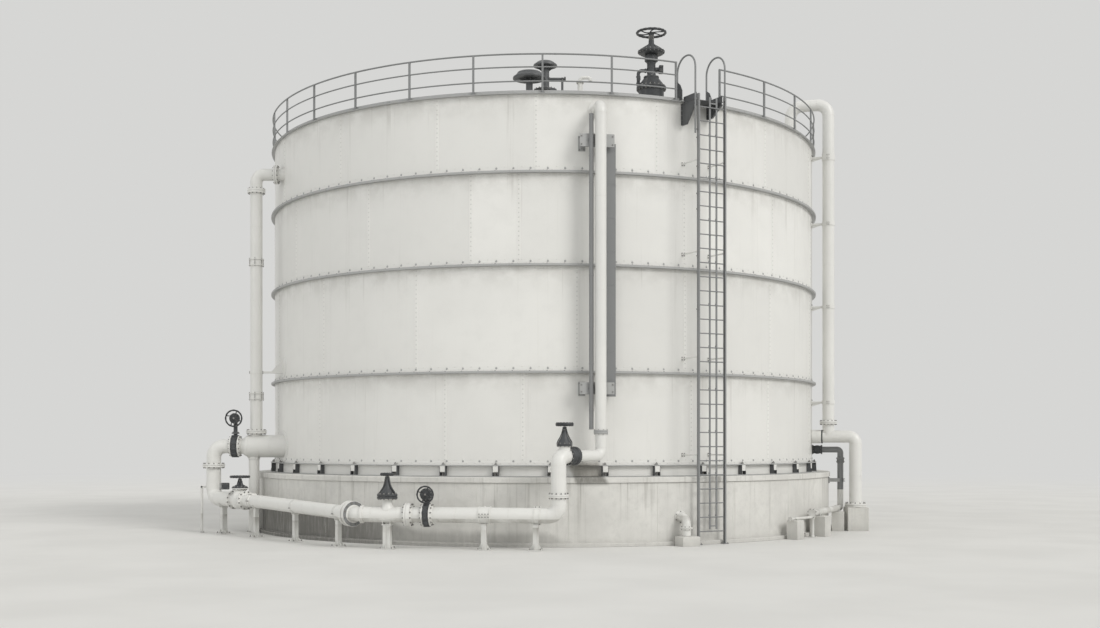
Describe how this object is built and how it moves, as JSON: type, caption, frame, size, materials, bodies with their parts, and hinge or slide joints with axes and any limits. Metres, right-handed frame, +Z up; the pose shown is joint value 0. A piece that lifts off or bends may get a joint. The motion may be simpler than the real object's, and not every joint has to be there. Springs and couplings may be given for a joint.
{
  "type": "vertical storage tank",
  "caption": "Vertical cylindrical storage tank on a round concrete plinth, with stiffening rings, cone roof, guardrail, ladder, valved header, risers and drain pipes.",
  "frame": {"origin": "on the tank's axis at ground level, the centre of the plinth's underside", "axes": "+Z up; -Y is the front, where the header runs; +X to the right when seen from the front"},
  "size_m": [19.181, 18.84, 13.207],
  "materials": {
    "concrete": "cast concrete, matte, faint vertical streaks",
    "shell_paint": "off-white tank paint, semi-gloss, lightly streaked",
    "trim_paint": "mid grey paint, satin",
    "rail_paint": "mid grey paint, satin",
    "pipe_paint": "pale grey pipe paint, semi-gloss",
    "fitting_paint": "dark grey paint, satin",
    "valve_iron": "dark grey painted cast iron",
    "wheel_iron": "dark painted cast iron"
  },
  "bodies": {
    "tank": {"plinth_drum": "concrete", "plinth_cap": "concrete", "pier_outlet": "concrete", "pier_drain_1": "concrete", "pier_drain_2": "concrete", "pier_drain_3": "concrete", "shell_course_1": "shell_paint", "shell_course_2": "shell_paint", "shell_course_3": "shell_paint", "shell_course_4": "shell_paint", "cone_roof": "shell_paint", "tank_bottom_plate": "shell_paint", "anchor_ring": "trim_paint", "stiffening_ring_1": "trim_paint", "stiffening_ring_2": "trim_paint", "stiffening_ring_3": "trim_paint", "kerb_angle": "trim_paint", "riser_channel": "trim_paint", "guardrail_1": "rail_paint", "guardrail_2": "rail_paint", "guardrail_3": "rail_paint", "guardrail_4": "rail_paint", "guardrail_5": "rail_paint", "ladder": "rail_paint", "ladder_guide": "rail_paint", "handrail_hoop_left": "rail_paint", "handrail_hoop_right": "rail_paint", "ladder_landing": "rail_paint", "front_riser": "pipe_paint", "header_right": "pipe_paint", "header_spool": "pipe_paint", "header_left": "pipe_paint", "left_loop": "pipe_paint", "shell_nozzle": "pipe_paint", "left_riser": "pipe_paint", "overflow_pipe": "pipe_paint", "outlet_pipe": "pipe_paint", "drain_pipe": "pipe_paint", "foot_drain_bend": "pipe_paint", "roof_nozzle": "pipe_paint", "roof_vent_low": "fitting_paint", "roof_vent": "fitting_paint", "roof_valve": "valve_iron", "riser_valve": "valve_iron", "header_gear_valve": "valve_iron", "header_gate_valve": "valve_iron", "loop_gate_valve": "valve_iron", "nozzle_gear_valve": "valve_iron"},
    "roof_valve_handwheel": {"roof_valve_wheel": "wheel_iron"},
    "riser_valve_handwheel": {"riser_valve_wheel": "wheel_iron"},
    "header_gear_valve_handwheel": {"header_gear_valve_wheel": "wheel_iron"},
    "header_gate_valve_handwheel": {"header_gate_valve_wheel": "wheel_iron"},
    "loop_gate_valve_handwheel": {"loop_gate_valve_wheel": "wheel_iron"},
    "nozzle_gear_valve_handwheel": {"nozzle_gear_valve_wheel": "wheel_iron"}
  },
  "joints": [
    {"name": "roof_valve_turn", "type": "hinge", "parent": "tank", "child": "roof_valve_handwheel", "pos_m": [2.79, -6.843, 13.171], "axis": [0, 0, 1], "continuous": true},
    {"name": "riser_valve_turn", "type": "hinge", "parent": "tank", "child": "riser_valve_handwheel", "pos_m": [0.49901, -9.64036, 2.993], "axis": [0, 0, 1], "continuous": true},
    {"name": "header_gear_valve_turn", "type": "hinge", "parent": "tank", "child": "header_gear_valve_handwheel", "pos_m": [-2.81673, -9.59981, 1.322], "axis": [-0.1338, -0.991, 0], "continuous": true},
    {"name": "header_gate_valve_turn", "type": "hinge", "parent": "tank", "child": "header_gate_valve_handwheel", "pos_m": [-3.75768, -9.24471, 1.798], "axis": [0, 0, 1], "continuous": true},
    {"name": "loop_gate_valve_turn", "type": "hinge", "parent": "tank", "child": "loop_gate_valve_handwheel", "pos_m": [-8.3712, -4.68107, 1.62], "axis": [0, 0, 1], "continuous": true},
    {"name": "nozzle_gear_valve_turn", "type": "hinge", "parent": "tank", "child": "nozzle_gear_valve_handwheel", "pos_m": [-8.773, -3.728, 3.25], "axis": [0, -1, 0], "continuous": true}
  ]
}
